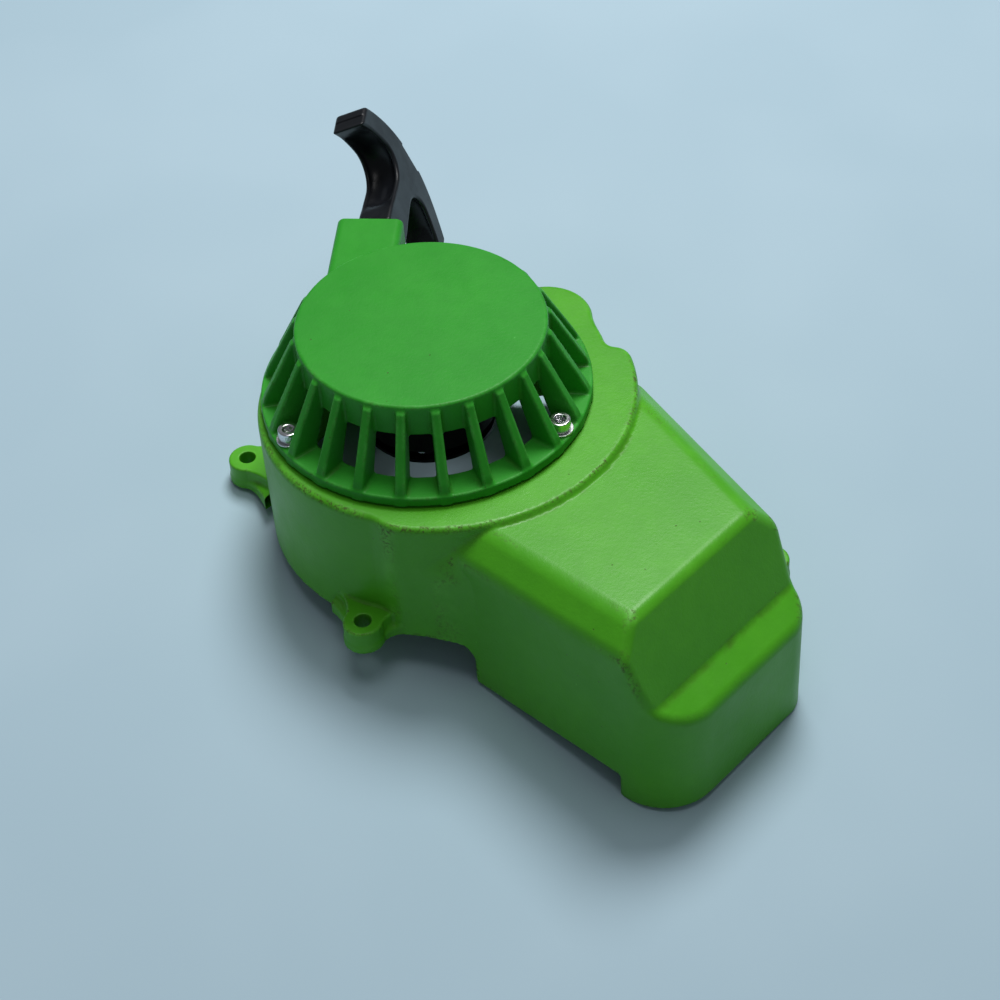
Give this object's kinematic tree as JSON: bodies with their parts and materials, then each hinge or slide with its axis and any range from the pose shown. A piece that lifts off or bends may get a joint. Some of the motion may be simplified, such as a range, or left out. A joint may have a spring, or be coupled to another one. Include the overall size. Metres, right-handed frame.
{
  "type": "recoil starter",
  "caption": "Hand-pull recoil starter for a small two-stroke engine: ribbed starter housing with rope and T handle on a cast fan shroud with an air duct.",
  "frame": {"origin": "on the starter axis, in the plane of the mounting lugs' lower faces", "axes": "+Z along the starter axis from the engine towards the top disc; +X along the straight side wall of the air duct, towards the duct's closed end"},
  "size_m": [0.2346, 0.1493, 0.1253],
  "materials": {
    "shroud_paint": "semi-gloss light green enamel on die-cast alloy, fine orange peel",
    "housing_paint": "semi-gloss deeper green enamel on die-cast alloy",
    "bright_screws": "bright nickel-plated steel",
    "washer_steel": "zinc-plated steel",
    "guide_steel": "turned steel eyelet",
    "case_steel": "pressed steel sheet",
    "spring_steel": "blued spring steel strip",
    "reel_plastic": "black glass-filled nylon",
    "bush_bronze": "sintered bronze",
    "pin_steel": "ground steel",
    "rope_fibre": "braided black nylon cord",
    "pawl_steel": "stamped hardened steel",
    "plate_steel": "stamped steel, black oxide",
    "brake_steel": "spring steel",
    "centre_steel": "turned steel, oiled",
    "handle_plastic": "moulded black nylon, satin gloss"
  },
  "bodies": {
    "root": {"fan_shroud": "shroud_paint", "starter_housing": "housing_paint", "housing_screws": "bright_screws", "housing_washers": "washer_steel", "rope_guide": "guide_steel", "spring_case": "case_steel", "recoil_spring": "spring_steel", "brake_spring": "brake_steel", "centre_screw": "centre_steel", "retaining_washer": "washer_steel"},
    "reel": {"rope_reel": "reel_plastic", "reel_bush": "bush_bronze", "pawl_pivots": "pin_steel", "rope_windings": "rope_fibre"},
    "clutch": {"clutch_plate": "plate_steel"},
    "pawl_a": {"pawl_a": "pawl_steel"},
    "pawl_b": {"pawl_b": "pawl_steel"},
    "rope_end": {"rope_lead": "rope_fibre", "handle_knot": "rope_fibre"},
    "handle": {"pull_handle": "handle_plastic", "knot_washer": "washer_steel"}
  },
  "joints": [
    {"name": "handle_pull", "type": "slide", "parent": "root", "child": "rope_end", "axis": [-0.6088, 0.7934, 0], "range_m": [0, 0.6], "stiffness_N_per_m": 16, "springref_m": -0.3, "deforming": ["rope_lead"]},
    {"name": "handle_swivel", "type": "hinge", "parent": "rope_end", "child": "handle", "pos_m": [-0.0552, 0.0358, 0.0656], "axis": [-0.6088, 0.7934, 0], "continuous": true},
    {"name": "reel_spin", "type": "hinge", "parent": "root", "child": "reel", "pos_m": [0, 0, 0], "axis": [0, 0, -1], "range_deg": [0, 1910], "deforming": ["recoil_spring"]},
    {"name": "clutch_turn", "type": "hinge", "parent": "reel", "child": "clutch", "pos_m": [0, 0, 0], "axis": [0, 0, 1], "range_deg": [0, 38]},
    {"name": "pawl_a_swing", "type": "hinge", "parent": "reel", "child": "pawl_a", "pos_m": [0.0145, 0, 0], "axis": [0, 0, 1], "range_deg": [0, 35]},
    {"name": "pawl_b_swing", "type": "hinge", "parent": "reel", "child": "pawl_b", "pos_m": [-0.0145, 0, 0], "axis": [0, 0, 1], "range_deg": [0, 35]}
  ],
  "couplings": [
    {"joint": "reel_spin", "follows": "handle_pull", "rad_per_m": 55.556},
    {"joint": "pawl_a_swing", "follows": "clutch_turn", "ratio": 0.921},
    {"joint": "pawl_b_swing", "follows": "clutch_turn", "ratio": 0.921}
  ]
}
